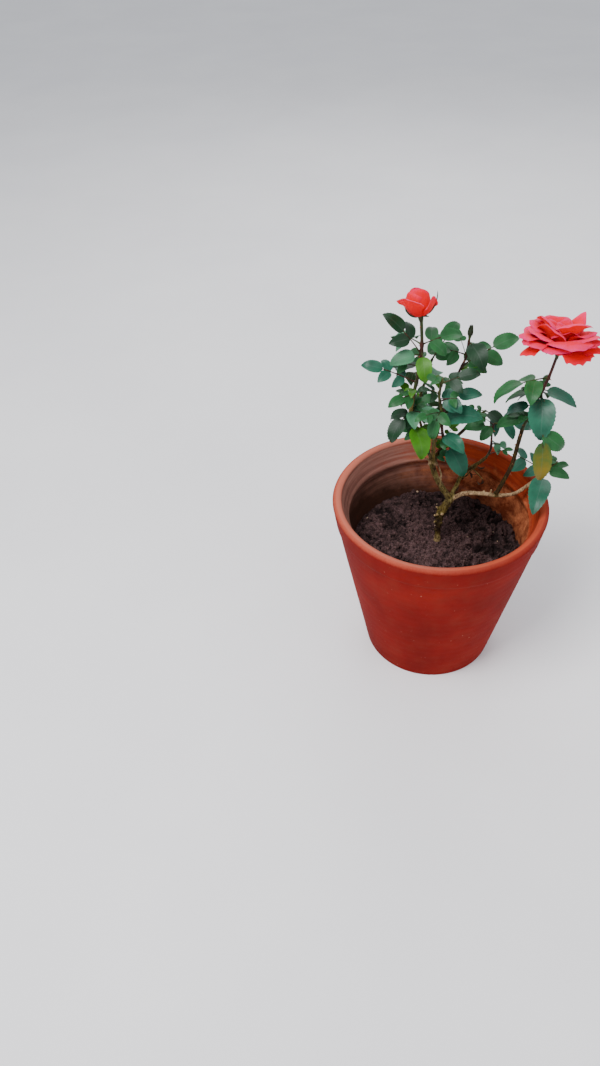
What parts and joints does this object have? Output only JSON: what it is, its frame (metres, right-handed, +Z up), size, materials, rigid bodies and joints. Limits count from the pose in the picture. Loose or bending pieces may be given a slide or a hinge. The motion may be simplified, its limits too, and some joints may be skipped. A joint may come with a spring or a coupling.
{
  "type": "potted rose bush",
  "caption": "Rose bush in a tapering clay pot: a short woody trunk forks into slender boughs that carry leafy shoots and coral blooms.",
  "frame": {"origin": "centre of the pot's flat underside", "axes": "+Z up along the pot's axis, +X to the side of the open bloom, +Y to the back"},
  "size_m": [0.3404, 0.305, 0.5807],
  "materials": {
    "clay": "unglazed fired clay, matt, weathered pale inside the collar",
    "soil": "moist crumbly potting soil, matt",
    "old_wood": "rough olive brown bark with scars",
    "young_wood": "smooth green to red brown rind",
    "foliage": "satin dark green leaves, some yellow green",
    "petals": "soft velvety coral red petals, paler where they roll back"
  },
  "bodies": {
    "root": {"pot": "clay", "soil": "soil", "trunk": "old_wood", "left_bough": "old_wood", "middle_bough": "old_wood", "arching_bough": "old_wood", "right_upright": "young_wood", "back_bough": "young_wood", "left_flower_shoot": "foliage", "centre_shoot": "foliage", "back_shoot": "foliage", "tall_bud_shoot": "foliage", "back_spray": "foliage", "middle_shoot": "foliage", "right_flower_shoot": "foliage", "rim_shoot": "foliage"}
  },
  "joints": []
}
